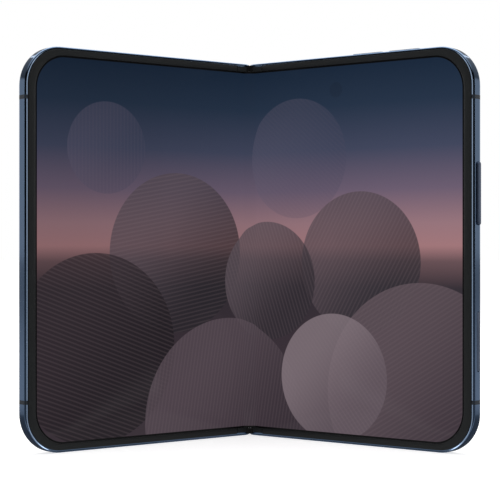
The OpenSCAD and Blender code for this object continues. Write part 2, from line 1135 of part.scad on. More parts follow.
module wing_screws() {
    for (z = wing_screw_zs) {
        peg(wing_screw_x, z, screw_head_r, bay_y + wing_t, bay_y + wing_t + 0.4);
        peg(wing_screw_x, z, screw_r - 0.02, floor_y, bay_y + wing_t + eps);
    }
}

module hinge_wing_lower_right() {
    color("gray")
        turned()
            wing();
}

module hinge_wing_upper_right() {
    color("gray")
        turned()
            upper_end()
                wing();
}

module hinge_wing_lower_left() {
    color("gray")
        turned_left()
            wing();
}

module hinge_wing_upper_left() {
    color("gray")
        turned_left()
            upper_end()
                wing();
}

module wing_screws_right() {
    color("silver")
        turned()
            both_ends()
                wing_screws();
}

module wing_screws_left() {
    color("silver")
        turned_left()
            both_ends()
                wing_screws();
}

// ---- what bends at the fold ----

// 0 at the edge of a folding zone, 1 at the fold line, with a smooth start and end
function fold_share(s, zone) = let (t = max(0, 1 - s / zone)) t * t * (3 - 2 * t);

// Where a point of the flat sheet lies when the halves are turned
function bent(s, y, zone) =
    let (a = -fold_deg * (1 - fold_share(s, zone)), dx = s - pivot_x, dy = y - pivot_y)
        [pivot_x + dx * cos(a) - dy * sin(a), pivot_y + dx * sin(a) + dy * cos(a)];

function bent_side(reach, y, zone) =
    [for (i = [0:fold_steps]) bent(reach * i / fold_steps, y, zone)];

function mirrored(points) = [for (i = [len(points) - 1:-1:1]) [-points[i][0], points[i][1]]];

function turned_round(points) = [for (i = [len(points) - 1:-1:0]) points[i]];

// A sheet between depths y0 and y1 of the flat state, bent in its zone, from z0 to z1
module bent_sheet(reach, zone, y0, y1, z0, z1) {
    front = bent_side(reach, y0, zone);
    back = bent_side(reach, y1, zone);
    translate([0, 0, z0])
        linear_extrude(z1 - z0)
            polygon(concat(
                mirrored(front), front, turned_round(concat(mirrored(back), back))
            ));
}

module display_fold() {
    color("#343e58")
        still()
            bent_sheet(fold_len, fold_len, bezel_t, plate_y, view_z, body_h - view_z);
}

module display_fold_backing() {
    color("silver")
        still()
            bent_sheet(fold_len, fold_len, plate_y, floor_y, view_z + 0.1, body_h - view_z - 0.1);
}

module fold_seals() {
    color("#101214")
        still()
            both_ends()
                bent_sheet(pivot_x, pivot_x, seal_depth, seal_depth + seal_t, rim_end + seat_gap,
                    view_z);
}

module hinge_flex() {
    color("darkorange")
        still()
            bent_sheet(flex_end, fold_len, flex_y, flex_y + flex_t, mid - flex_h / 2,
                mid + flex_h / 2);
}

spine_cover();
spine_end_plugs();
spine_screws();
hinge_bracket_upper();
hinge_bracket_lower();
friction_clips();
timing_gears_right();
timing_gears_left();
display_fold();
display_fold_backing();
fold_seals();
hinge_flex();
frame_right();
antenna_bands_right();
bezel_right();
hinge_caps_right();
display_right();
display_plate_right();
back_glass();
hinge_shafts_right();
hinge_wing_upper_right();
hinge_wing_lower_right();
wing_screws_right();
camera_island();
rear_camera_windows();
rear_cameras();
flash();
front_camera();
main_board();
board_shields();
board_screws();
battery_right();
usb_socket();
loudspeaker();
haptic_motor();
key_switches();
power_key();
camera_key();
volume_up_key();
volume_down_key();
frame_left();
antenna_bands_left();
bezel_left();
hinge_caps_left();
display_left();
display_plate_left();
cover_glass();
cover_display();
cover_camera();
hinge_shafts_left();
hinge_wing_upper_left();
hinge_wing_lower_left();
wing_screws_left();
battery_left();
earpiece();
left_board();
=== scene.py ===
import json
import math

import bmesh
import bpy
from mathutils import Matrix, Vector


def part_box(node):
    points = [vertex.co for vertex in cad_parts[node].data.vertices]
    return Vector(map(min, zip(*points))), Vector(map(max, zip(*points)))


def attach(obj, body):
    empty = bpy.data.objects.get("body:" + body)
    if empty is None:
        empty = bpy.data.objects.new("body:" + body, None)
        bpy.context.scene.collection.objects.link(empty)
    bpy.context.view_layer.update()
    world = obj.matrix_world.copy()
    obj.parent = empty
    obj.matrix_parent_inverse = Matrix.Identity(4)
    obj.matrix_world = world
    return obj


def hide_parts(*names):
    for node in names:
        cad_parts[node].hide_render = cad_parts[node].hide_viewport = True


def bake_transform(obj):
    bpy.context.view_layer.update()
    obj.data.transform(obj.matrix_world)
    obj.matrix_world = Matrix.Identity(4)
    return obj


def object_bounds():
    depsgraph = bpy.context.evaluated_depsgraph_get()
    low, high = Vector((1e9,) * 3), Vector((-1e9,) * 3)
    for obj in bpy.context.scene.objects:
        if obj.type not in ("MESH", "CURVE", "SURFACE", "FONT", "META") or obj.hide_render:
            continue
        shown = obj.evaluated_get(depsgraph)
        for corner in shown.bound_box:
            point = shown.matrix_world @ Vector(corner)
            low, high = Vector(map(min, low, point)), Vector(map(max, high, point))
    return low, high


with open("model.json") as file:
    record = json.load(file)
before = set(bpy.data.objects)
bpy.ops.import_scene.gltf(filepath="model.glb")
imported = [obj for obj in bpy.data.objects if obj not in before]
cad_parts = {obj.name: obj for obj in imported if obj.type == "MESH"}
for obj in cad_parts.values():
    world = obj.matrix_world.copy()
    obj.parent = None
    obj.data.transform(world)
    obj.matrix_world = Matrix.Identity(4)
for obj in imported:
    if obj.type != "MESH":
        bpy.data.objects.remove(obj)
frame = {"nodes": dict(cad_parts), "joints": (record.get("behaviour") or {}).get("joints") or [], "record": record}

cad_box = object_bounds()
MM = 0.001
HAIR = 0.001 * MM  # within this, CAD points count as level

# ---- the frame's own sizes ----

joints = {joint["name"]: joint for joint in frame["joints"]}
pivot = Vector(joints["fold_right"]["pos_m"])
fold = math.radians(joints["fold_right"]["range_deg"][1])  # turn of each half from flat
RIGHT, LEFT = 1, -1
SIDE_NAMES = {RIGHT: "right", LEFT: "left"}


def folded(x, y, z, side, turn=fold):
    """A flat point of the right or left half where that half is turned about its pivot."""
    dx, dy = x - pivot.x, y - pivot.y
    return Vector((
        side * (pivot.x + dx * math.cos(turn) + dy * math.sin(turn)),
        pivot.y - dx * math.sin(turn) + dy * math.cos(turn),
        z,
    ))


def flat_points(node, side):
    """A CAD node's vertices in the flat state."""
    points = []
    for vertex in frame["nodes"][node].data.vertices:
        dx, dy = vertex.co.x * side - pivot.x, vertex.co.y - pivot.y
        points.append(Vector((
            pivot.x + dx * math.cos(fold) - dy * math.sin(fold),
            pivot.y + dx * math.sin(fold) + dy * math.cos(fold),
            vertex.co.z,
        )))
    return points


def extent(points):
    """The lowest and highest corners of some points."""
    return (
        Vector([min(p[i] for p in points) for i in range(3)]),
        Vector([max(p[i] for p in points) for i in range(3)]),
    )


def corner_radius(points):
    """Radius of a half's outer corners, from where the upper one leaves the outer side."""
    low, high = extent(points)
    return high.z - max(p.z for p in points if p.x > high.x - HAIR)


def round_discs(node, side=RIGHT):
    """Middle of the back and radius of each disc of a CAD node, inner one first."""
    points = flat_points(node, side)
    low, high = extent(points)
    split = (low.x + high.x) / 2
    groups = [[p for p in points if p.x < split], [p for p in points if p.x >= split]]
    if high.x - low.x < 1.5 * (high.z - low.z):
        groups = [points]
    discs = []
    for group in groups:
        low, high = extent(group)
        discs.append((Vector(((low.x + high.x) / 2, high.y, (low.z + high.z) / 2)),
                      (high.z - low.z) / 2))
    return discs


frame_points = flat_points("frame_right", RIGHT)
bezel_points = flat_points("bezel_right", RIGHT)
panel_points = flat_points("display_right", RIGHT)
frame_low, frame_high = extent(frame_points)
bezel_low, bezel_high = extent(bezel_points)
panel_low, panel_high = extent(panel_points)
plate_low, plate_high = extent(flat_points("display_plate_right", RIGHT))
seal_low, seal_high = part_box("fold_seals")
flex_low, flex_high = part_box("hinge_flex")
camera_low, camera_high = extent(flat_points("front_camera", RIGHT))
antenna_low_z = extent(flat_points("antenna_bands_right", RIGHT))[0].z

half_w = frame_high.x
mid_z = (frame_low.z + frame_high.z) / 2
corner_r = corner_radius(frame_points)
bezel_r = corner_radius(bezel_points)
display_under = 0.4 * MM  # how far the display reaches under the bezel
fold_zone = panel_low.x  # half the width of what bends at the fold
view_x = panel_high.x - display_under
view_half_h = panel_high.z - display_under - mid_z
view_z = mid_z - view_half_h
view_r = corner_radius(panel_points) - display_under
rim_reach = mid_z / 2 + antenna_low_z  # up and down from the middle, clear of the corners
rim_xs = [p.x for p in frame_points
          if p.y < frame_low.y + HAIR and abs(p.z - mid_z) < rim_reach]
rim_side = half_w - min(rim_xs)  # width of the band's front rim along the outer side
groove = half_w - rim_side - bezel_high.x
rim_end = bezel_low.z - groove  # width of the rim along the top and bottom
back_y = frame_high.y
window_y = round_discs("rear_camera_windows")[0][0].y  # outer face of the rear camera windows
front_y = bezel_low.y
screen_y = panel_low.y
plate_y = plate_low.y
floor_y = plate_high.y

# ---- camera ----

CAMERA_BACK = 494.65 * MM  # in front of the face of the open phone
CAMERA_LENS = 109.66  # millimetres, on the 36 mm sensor
CAMERA_SHIFT = (0.0006, -0.0007)

camera_data = bpy.data.cameras.new("camera")
camera_data.lens = CAMERA_LENS
camera_data.sensor_width = 36
camera_data.clip_start = 0.01
camera_data.shift_x, camera_data.shift_y = CAMERA_SHIFT
camera = bpy.data.objects.new("camera", camera_data)
camera.location = (0, front_y - CAMERA_BACK, mid_z)
camera.rotation_euler = (math.pi / 2, 0, 0)
bpy.context.scene.collection.objects.link(camera)
bpy.context.scene.camera = camera
bpy.context.scene.view_settings.view_transform = "Standard"


# ---- node helpers ----

class Graph:
    """Short calls for building one node tree."""

    def __init__(self, tree):
        self.tree = tree
        tree.nodes.clear()

    def add(self, kind, settings=(), **inputs):
        """A node of this kind, with its settings, and values or sockets on its inputs."""
        node = self.tree.nodes.new(kind)
        for name, value in dict(settings).items():
            setattr(node, name, value)
        for name, value in inputs.items():
            self.feed(node.inputs[name.replace("_", " ")], value)
        return node

    def feed(self, socket, value):
        if isinstance(value, bpy.types.NodeSocket):
            self.tree.links.new(value, socket)
        else:
            socket.default_value = value

    def math(self, operation, a, b=0.0, clamp=False):
        node = self.add("ShaderNodeMath", {"operation": operation, "use_clamp": clamp})
        self.feed(node.inputs[0], a)
        self.feed(node.inputs[1], b)
        return node.outputs[0]

    def vector(self, operation, a, b=(0, 0, 0)):
        node = self.add("ShaderNodeVectorMath", {"operation": operation})
        self.feed(node.inputs[0], a)
        self.feed(node.inputs[1], b)
        return node

    def ramp(self, value, low, high, to_low=0.0, to_high=1.0):
        """value from low..high to to_low..to_high, smoothly and clamped."""
        node = self.add("ShaderNodeMapRange", {"interpolation_type": "SMOOTHSTEP"})
        for index, number in enumerate((value, low, high, to_low, to_high)):
            self.feed(node.inputs[index], number)
        return node.outputs[0]

    def mix(self, factor, a, b):
        node = self.add("ShaderNodeMix", {"data_type": "RGBA"})
        self.feed(node.inputs[0], factor)
        self.feed(node.inputs[6], a)
        self.feed(node.inputs[7], b)
        return node.outputs[2]

    def level(self, factor, a, b):
        node = self.add("ShaderNodeMix", {"data_type": "FLOAT"})
        self.feed(node.inputs[0], factor)
        self.feed(node.inputs[2], a)
        self.feed(node.inputs[3], b)
        return node.outputs[0]

    def tones(self, factor, stops):
        """The colour at a factor of 0 to 1, from pairs of place and colour in rising order."""
        node = self.add("ShaderNodeValToRGB", Fac=factor)
        elements = node.color_ramp.elements
        elements[1].position, elements[1].color = stops[-1]
        elements[0].position, elements[0].color = stops[0]
        for position, colour in stops[1:-1]:
            elements.new(position).color = colour
        return node.outputs["Color"]

    def noise(self, vector, scale, detail=2.0):
        node = self.add(
            "ShaderNodeTexNoise", Vector=vector, Scale=scale, Detail=detail, Roughness=0.5
        )
        return node.outputs["Fac"]

    def bump(self, height, distance):
        return self.add(
            "ShaderNodeBump", Height=height, Distance=distance, Strength=1.0
        ).outputs[0]

    def object_point(self):
        return self.add("ShaderNodeTexCoord").outputs["Object"]

    def finish(self, shader, kind="ShaderNodeOutputMaterial"):
        self.tree.links.new(shader, self.add(kind).inputs["Surface"])


def linear(red, green, blue):
    """An sRGB colour of 0 to 255 as a linear colour with alpha."""
    def channel(value):
        value /= 255
        return value / 12.92 if value <= 0.04045 else ((value + 0.055) / 1.055) ** 2.4
    return (channel(red), channel(green), channel(blue), 1.0)


def scaled(colour, factor):
    return tuple(c * factor for c in colour[:3]) + (1.0,)


def new_graph(name):
    material = bpy.data.materials.new(name)
    material.use_nodes = True
    return material, Graph(material.node_tree)


# ---- plain materials: a base tone with cloudy variation and a fine grain ----

def grained(name, colour, roughness, metallic=0.0, grain=0.1 * MM, depth=0.004 * MM,
            tone=0.12, specular=0.5, coat=0.0, stretch=(1, 1, 1)):
    """A finish whose tone and roughness drift a little, over a grain of that size and depth."""
    material, g = new_graph(name)
    point = g.vector("MULTIPLY", g.object_point(), stretch).outputs[0]
    cloud = g.noise(point, 0.02 / MM, 3.0)
    fine = g.noise(point, 1 / grain, 2.0)
    base = g.mix(cloud, scaled(colour, 1 - tone), scaled(colour, 1 + tone))
    rough = g.ramp(fine, 0.3, 0.7, roughness * 0.85, min(1.0, roughness * 1.15))
    shader = g.add(
        "ShaderNodeBsdfPrincipled", Base_Color=base, Roughness=rough, Metallic=metallic,
        Specular_IOR_Level=specular, Coat_Weight=coat, Coat_Roughness=0.08,
        Normal=g.bump(fine, depth),
    )
    g.finish(shader.outputs[0])
    return material


def board_material():
    """Green solder mask with fine copper tracks."""
    material, g = new_graph("circuit_board")
    point = g.object_point()
    tracks = g.add("ShaderNodeTexBrick", Vector=point, Scale=0.5 / MM, Mortar_Size=0.03)
    base = g.mix(tracks.outputs["Fac"], linear(20, 72, 44), linear(44, 104, 60))
    shader = g.add(
        "ShaderNodeBsdfPrincipled", Base_Color=base, Roughness=0.35,
        Normal=g.bump(tracks.outputs["Fac"], 0.01 * MM),
    )
    g.finish(shader.outputs[0])
    return material


def flash_material():
    """A milky lens with the fine rings of a Fresnel pattern about its own axis."""
    low, high = extent(flat_points("flash", RIGHT))
    axis = folded((low.x + high.x) / 2, high.y, (low.z + high.z) / 2, RIGHT)
    material, g = new_graph("flash_lens")
    offset = g.vector("SUBTRACT", g.object_point(), tuple(axis))
    radius = g.vector("LENGTH", offset.outputs[0]).outputs["Value"]
    rings = g.math("SINE", g.math("MULTIPLY", radius, 2 * math.pi / (0.25 * MM)))
    centre = g.ramp(radius, 0.3 * MM, 1.1 * MM)
    base = g.mix(centre, linear(246, 226, 138), linear(236, 234, 222))
    shader = g.add(
        "ShaderNodeBsdfPrincipled", Base_Color=base, Roughness=0.2, Coat_Weight=0.6,
        Normal=g.bump(rings, 0.02 * MM),
    )
    g.finish(shader.outputs[0])
    return material


# Tones of a lens under its glass, by distance from its axis as a share of its radius: near-black barrel and glass,
# with thin light rings that are painted highlights on the ring edges and a bluish middle that is a painted
# reflection in the coating
LENS_TONES_AND_GLINTS = (
    (0.0, linear(14, 16, 34)), (0.2, linear(26, 24, 58)), (0.27, linear(8, 9, 14)),
    (0.3, linear(58, 62, 70)), (0.33, linear(7, 8, 10)), (0.5, linear(10, 11, 13)),
    (0.53, linear(38, 40, 44)), (0.57, linear(6, 7, 8)), (0.78, linear(9, 9, 10)),
    (0.8, linear(30, 31, 33)), (0.83, linear(7, 7, 8)),
)


def lens_material(name, axes, radius, around):
    """Glass over lenses of that radius on the given axis points, with another tone around them."""
    material, g = new_graph(name)
    point = g.object_point()
    distance = 1.0
    for axis in axes:
        offset = g.vector("SUBTRACT", point, tuple(axis))
        distance = g.math("MINIMUM", distance,
                          g.vector("LENGTH", offset.outputs[0]).outputs["Value"])
    rings = g.tones(g.math("DIVIDE", distance, radius), LENS_TONES_AND_GLINTS)
    smudges = g.noise(point, 300.0, 3.0)
    inside = g.ramp(distance, radius * 0.99, radius, 1.0, 0.0)
    shader = g.add(
        "ShaderNodeBsdfPrincipled", Base_Color=g.mix(inside, around, rings),
        Roughness=g.ramp(smudges, 0.3, 0.7, 0.03, 0.08), Coat_Weight=1.0, Coat_Roughness=0.02,
    )
    g.finish(shader.outputs[0])
    return material


def lens_axes(node, side, depth):
    """Rest places of a node's discs' middles, at that flat depth."""
    return [folded(centre.x, depth, centre.z, side) for centre, _ in round_discs(node, side)]


# ---- the screen's picture: a generic abstract, painted on flat coordinates ----

# Colours of the backdrop, from the lower edge (0) to the upper one (1)
DUSK = (
    (0.0, linear(60, 50, 57)), (0.25, linear(54, 45, 52)), (0.4, linear(48, 42, 48)),
    (0.47, linear(96, 74, 78)), (0.51, linear(150, 110, 113)), (0.57, linear(140, 108, 115)),
    (0.66, linear(100, 86, 104)), (0.77, linear(60, 65, 86)), (0.89, linear(34, 47, 66)),
    (1.0, linear(21, 35, 53)),
)
# Discs of the picture, from the back one to the front one, in millimetres from its middle:
# centre, radius, tone at the upper left, tone at the lower right, and how solid it is
DISCS = (
    ((-56, 31), 14, linear(84, 80, 100), linear(60, 62, 82), 0.3),
    ((20, 29), 19, linear(92, 88, 108), linear(66, 66, 88), 0.24),
    ((-30, -1), 25, linear(78, 68, 76), linear(36, 33, 38), 0.8),
    ((44, -4), 22, linear(84, 72, 79), linear(48, 44, 50), 0.8),
    ((8, -10), 19, linear(82, 72, 79), linear(46, 41, 47), 0.8),
    ((-60, -30), 29, linear(46, 38, 43), linear(26, 22, 26), 0.8),
    ((66, -44), 34, linear(96, 82, 89), linear(58, 49, 56), 0.7),
    ((-10, -54), 32, linear(84, 72, 80), linear(52, 44, 51), 0.7),
    ((34, -40), 20, linear(132, 118, 125), linear(98, 86, 94), 0.7),
)
DISC_EDGE = 0.12 * MM  # half the soft edge of a disc
LINE_STEP = 1.25 * MM  # between the fine lines inside each disc
LINE_TURN = 50  # degrees between the lines of one disc and the next
LINE_TONE = linear(168, 146, 152)


def circle_inside(g, x, z, centre, radius):
    """How deep a point lies inside a circle, negative outside it."""
    dx = g.math("SUBTRACT", x, centre[0])
    dz = g.math("SUBTRACT", z, centre[1])
    square = g.math("ADD", g.math("MULTIPLY", dx, dx), g.math("MULTIPLY", dz, dz))
    return g.math("SUBTRACT", radius, g.math("SQRT", square))


def wallpaper(g, x, z):
    """Colour of the picture at a flat place: a dusk glow behind soft overlapping discs."""
    up = g.math("DIVIDE", g.math("SUBTRACT", z, view_z), 2 * view_half_h)
    # painted light: the picture is scaled darker at the left and lighter at the right, a painted difference in
    # light across the screen
    painted_side_light = g.ramp(x, -view_x, view_x, 0.8, 1.16)
    picture = g.vector("SCALE", g.tones(up, DUSK))
    g.feed(picture.inputs["Scale"], painted_side_light)
    picture = picture.outputs[0]
    for number, ((across, above), radius, lit_tone, far_tone, solid) in enumerate(DISCS):
        centre = (across * MM, mid_z + above * MM)
        depth = circle_inside(g, x, z, centre, radius * MM)
        slope = g.math("SUBTRACT", g.math("SUBTRACT", x, centre[0]),
                       g.math("SUBTRACT", z, centre[1]))
        tone = g.mix(g.ramp(slope, -radius * MM, radius * MM), lit_tone, far_tone)
        way = math.radians(LINE_TURN * number)
        run = g.math("ADD", g.math("MULTIPLY", x, math.cos(way) * 2 * math.pi / LINE_STEP),
                     g.math("MULTIPLY", z, math.sin(way) * 2 * math.pi / LINE_STEP))
        tone = g.mix(g.ramp(g.math("SINE", run), -0.2, 1.0, 0.0, 0.06), tone, LINE_TONE)
        cover = g.ramp(depth, -DISC_EDGE, DISC_EDGE, 0.0, solid)
        picture = g.mix(cover, picture, tone)
    return picture


MASK = (-0.58 * MM, -0.48 * MM)  # from the edge of the view, where the lit picture ends
WINDOW_EDGE = 0.15 * MM  # soft edge of the front camera's window


def screen_material(name, flat_vector):
    """Display under glass. flat_vector makes the socket that gives each point's flat place."""
    material, g = new_graph(name)
    place = g.add("ShaderNodeSeparateXYZ", Vector=flat_vector(g))
    x, z = place.outputs["X"], place.outputs["Z"]
    picture = wallpaper(g, x, z)
    # distance to the rounded edge of the lit area
    out_x = g.math("SUBTRACT", g.math("ABSOLUTE", x), view_x - view_r)
    height = g.math("ABSOLUTE", g.math("SUBTRACT", z, mid_z))
    out_z = g.math("SUBTRACT", height, view_half_h - view_r)
    corner = g.add("ShaderNodeCombineXYZ")
    g.feed(corner.inputs[0], g.math("MAXIMUM", out_x, 0.0))
    g.feed(corner.inputs[1], g.math("MAXIMUM", out_z, 0.0))
    length = g.vector("LENGTH", corner.outputs[0]).outputs["Value"]
    inner = g.math("MINIMUM", g.math("MAXIMUM", out_x, out_z), 0.0)
    edge = g.math("SUBTRACT", g.math("ADD", length, inner), view_r)
    lit = g.ramp(edge, *MASK, 1.0, 0.0)
    # the front camera's clear window, just darker than the picture
    lens_r = (camera_high.x - camera_low.x) / 2
    lens_x = (camera_low.x + camera_high.x) / 2
    lens_z = (camera_low.z + camera_high.z) / 2
    inside = circle_inside(g, x, z, (lens_x, lens_z), lens_r)
    window = g.ramp(inside, 0.0, WINDOW_EDGE, 0.0, 0.16)
    picture = g.mix(window, picture, linear(16, 18, 26))
    glow = g.mix(lit, (0.0, 0.0, 0.0, 1.0), picture)
    # a faint haze of wiped dust in the gloss
    haze = g.noise(g.object_point(), 60.0, 4.0)
    rough = g.ramp(haze, 0.3, 0.7, 0.06, 0.11)
    shader = g.add(
        "ShaderNodeBsdfPrincipled", Base_Color=g.mix(lit, linear(22, 22, 23), linear(12, 13, 16)),
        Roughness=rough, Specular_IOR_Level=0.16, Emission_Color=glow, Emission_Strength=1.0,
    )
    g.finish(shader.outputs[0])
    return material


def unfolding(side):
    """The flat place of a point on a rigid half, by turning its rest place back."""
    def flat_vector(g):
        node = g.add("ShaderNodeVectorRotate", {"rotation_type": "Z_AXIS"},
                     Vector=g.object_point())
        node.inputs["Center"].default_value = (side * pivot.x, pivot.y, pivot.z)
        node.inputs["Angle"].default_value = side * fold
        return node.outputs[0]
    return flat_vector


def stored_flat(g):
    """The flat place of a point on a bent piece, kept in its mesh."""
    return g.add("ShaderNodeAttribute", {"attribute_name": "flat"}).outputs["Vector"]


# ---- mesh helpers ----

def new_piece(name, mesh, material, slot):
    piece = bpy.data.objects.new(name, mesh)
    bpy.context.scene.collection.objects.link(piece)
    mesh.materials.clear()
    mesh.materials.append(material)
    return piece


SHARP = math.radians(35)


def smooth_by_angle(mesh):
    """Smooth shading, with edges kept sharp from that angle on and between two materials."""
    work = bmesh.new()
    work.from_mesh(mesh)
    for face in work.faces:
        face.smooth = True
    for edge in work.edges:
        one_material = len({face.material_index for face in edge.link_faces}) == 1
        edge.smooth = one_material and edge.calc_face_angle(0) < SHARP
    work.to_mesh(mesh)
    work.free()


def smooth_mesh(work, name):
    """A smooth-shaded mesh from a bmesh, which is used up."""
    bmesh.ops.recalc_face_normals(work, faces=work.faces)
    mesh = bpy.data.meshes.new(name)
    work.to_mesh(mesh)
    work.free()
    smooth_by_angle(mesh)
    return mesh


def join_rings(work, rings):
    """Faces between each ring of vertices and the next."""
    count = len(rings[0])
    for ring, following in zip(rings, rings[1:]):
        for i in range(count):
            j = (i + 1) % count
            work.faces.new((ring[i], ring[j], following[j], following[i]))


def cap_ends(work, rings):
    work.faces.new(rings[0][::-1])
    work.faces.new(rings[-1])


def loft(name, sections, closed=False):
    """A skin over rings of points. Its ends are capped, unless the last ring joins the first."""
    work = bmesh.new()
    rings = [[work.verts.new(point) for point in section] for section in sections]
    if closed:
        join_rings(work, rings + rings[:1])
    else:
        join_rings(work, rings)
        cap_ends(work, rings)
    return smooth_mesh(work, name)


def arc(centre, radius, start, end, steps):
    """Points on an arc, angles in degrees."""
    points = []
    for i in range(steps + 1):
        angle = math.radians(start + (end - start) * i / steps)
        points.append((centre[0] + radius * math.cos(angle), centre[1] + radius * math.sin(angle)))
    return points


# ---- bezels: a rounded moulding along three sides of each half ----

def round_path(x0, side_x, end_z, radius):
    """Points on a half's outline, from the lower seam round to the upper one."""
    lower = arc((side_x - radius, end_z + radius), radius, -90, 0, 24)
    upper = [(x, 2 * mid_z - z) for x, z in reversed(lower)]
    return [(x0, end_z)] + lower + upper + [(x0, 2 * mid_z - end_z)]


def moulding(name, outer, inner, side, profile_of):
    """A strip lofted between two outlines. profile_of(width) gives pairs of inset and depth."""
    sections = []
    for (outer_x, outer_z), (inner_x, inner_z) in zip(outer, inner):
        across = Vector((inner_x - outer_x, inner_z - outer_z))
        width = across.length
        across.normalize()
        sections.append([
            folded(outer_x + across.x * inset, depth, outer_z + across.y * inset, side)
            for inset, depth in profile_of(width)
        ])
    return loft(name, sections)


BEZEL_EDGE_R = 0.14 * MM


def bezel_profile(width):
    """A section with both front edges rounded."""
    points = [(0, screen_y)]
    points += [(BEZEL_EDGE_R * (1 - c), front_y + BEZEL_EDGE_R * (1 - s))
               for c, s in arc((0, 0), 1, 0, 90, 4)]
    points += [(width - BEZEL_EDGE_R * (1 - s), front_y + BEZEL_EDGE_R * (1 - c))
               for c, s in arc((0, 0), 1, 0, 90, 4)]
    return points + [(width, screen_y)]


def bezel(side):
    name = f"bezel_{SIDE_NAMES[side]}"
    outer = round_path(bezel_low.x, bezel_high.x, bezel_low.z, bezel_r)
    inner = round_path(bezel_low.x, view_x, view_z, view_r)
    mesh = moulding(name, outer, inner, side, bezel_profile)
    piece = new_piece(name + "_moulding", mesh, materials["bezel"], "bezel")
    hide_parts(name)
    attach(piece, f"{SIDE_NAMES[side]}_half")


# ---- metal band: the CAD frame with a polished chamfer along the inside of its front rim ----

WELD = 0.0005 * MM  # vertices nearer than this become one after a cut
SLIVER = 0.0002 * MM  # edges and faces thinner than this go
CHAMFER_WIDTHS = (0.1 * MM, 0.36 * MM)  # on the narrowest rim and on the widest
CHAMFER_DEPTHS = (0.02 * MM, 0.048 * MM)
CHAMFER_OVER = 0.02 * MM  # how far the wedge goes past the rim's inner edge


def cut(piece, cutters):
    """Takes the cutters out of a piece and deletes them."""
    for cutter in cutters:
        bpy.context.scene.collection.objects.link(cutter)
        modifier = piece.modifiers.new("cut", "BOOLEAN")
        modifier.object = cutter
        modifier.solver = "EXACT"
        modifier.material_mode = "TRANSFER"
    graph = bpy.context.evaluated_depsgraph_get()
    mesh = bpy.data.meshes.new_from_object(piece.evaluated_get(graph))
    work = bmesh.new()
    work.from_mesh(mesh)
    bmesh.ops.remove_doubles(work, verts=work.verts, dist=WELD)
    bmesh.ops.dissolve_degenerate(work, edges=work.edges, dist=SLIVER)
    work.to_mesh(mesh)
    work.free()
    piece.modifiers.clear()
    piece.data = mesh
    for cutter in cutters:
        bpy.data.objects.remove(cutter)


def soften(piece):
    """Smooth shading whose normals follow the flat faces, between sharp edges."""
    smooth_by_angle(piece.data)
    modifier = piece.modifiers.new("normals", "WEIGHTED_NORMAL")
    modifier.keep_sharp = True


def chamfer_profile(width):
    """The wedge that the chamfer takes out of a rim of this width."""
    share = (width - rim_end) / (rim_side - rim_end)
    across, deep = (
        low + (high - low) * share for low, high in (CHAMFER_WIDTHS, CHAMFER_DEPTHS)
    )
    past = width + CHAMFER_OVER
    return [
        (width - 1.3 * across, front_y - 0.3 * deep),
        (past, front_y + deep * (1 + CHAMFER_OVER / across)),
        (past, front_y - 0.3 * deep),
    ]


def polished(node, side):
    """A copy of a CAD piece of the band that takes its place, with the chamfer cut."""
    name = f"{node}_{SIDE_NAMES[side]}"
    outer = round_path(0, half_w, 0, corner_r)
    inner = round_path(0, half_w - rim_side, rim_end, bezel_r + groove)
    wedge = moulding("wedge", outer, inner, side, chamfer_profile)
    source = frame["nodes"][name]
    slot = "frame" if node == "frame" else "antenna_plastic"
    piece = new_piece(name + "_polished", source.data.copy(), materials[slot], slot)
    wedge.materials.append(materials["polished_highlight_edge"] if node == "frame" else materials[slot])
    cut(piece, [bpy.data.objects.new("cutter", wedge)])
    soften(piece)
    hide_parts(name)
    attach(piece, f"{SIDE_NAMES[side]}_half")


# ---- what bends at the fold ----

FOLD_STEPS = 28
FLEX_REACH = 14.4 * MM  # of the hinge flex, from the fold line
FLEX_DEPTHS = (0.6 * MM, 0.75 * MM)  # behind the pivots
SEAL_DEPTHS = (0.5 * MM, 0.8 * MM)  # behind the bezels' face


def ease(value):
    """The smooth step from 0 to 1."""
    value = min(max(value, 0.0), 1.0)
    return value * value * (3 - 2 * value)


def bent_turn(x, y, zone_end):
    rest_x = x
    for _ in range(60):
        turn = fold * ease(rest_x / zone_end)
        rest_x = folded(x, y, 0, RIGHT, turn).x
    return turn


def fold_sheet(name, node, side, reach, zone, y0, y1, z0, z1, material, slot):
    """One side of a sheet bent at the fold as the phone stands, which keeps each point's flat place in the mesh.
    """
    zone_end = folded(zone, y0, 0, RIGHT).x
    work = bmesh.new()
    layer = work.verts.layers.float_vector.new("flat")
    columns = []
    for i in range(FOLD_STEPS + 1):
        x = reach * i / FOLD_STEPS
        column = []
        for y, z in ((y0, z0), (y0, z1), (y1, z1), (y1, z0)):
            vertex = work.verts.new(folded(x, y, z, side, bent_turn(x, y, zone_end)))
            vertex[layer] = (side * x, y, z)
            column.append(vertex)
        columns.append(column)
    join_rings(work, columns)
    cap_ends(work, columns)
    piece = new_piece(f"{name}_{SIDE_NAMES[side]}", smooth_mesh(work, name), material, slot)
    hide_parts(node)
    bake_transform(piece)


# ---- keys ----

KEY_EDGE_R = 0.16 * MM
KEY_DEPTH = 3 * MM  # from a key's face to its inner end


def pill_outline(length, width):
    """A bar with round ends about the origin, its length along the first axis."""
    radius = width / 2
    run = length / 2 - radius
    return arc((run, 0), radius, -90, 90, 10) + arc((-run, 0), radius, 90, 270, 10)


def rounded_pill(name, length, width, base, top, edge_r, place):
    """A bar with a rounded upper edge. place puts (along, across, height) in the row frame."""
    levels = [(base, 0.0)]
    levels += [(top - edge_r + edge_r * s, edge_r - edge_r * c)
               for c, s in arc((0, 0), 1, 0, 90, 5)]
    sections = []
    for height, inset in levels:
        outline = pill_outline(length - 2 * inset, width - 2 * inset)
        sections.append([place(along, across, height) for along, across in outline])
    return loft(name, sections)


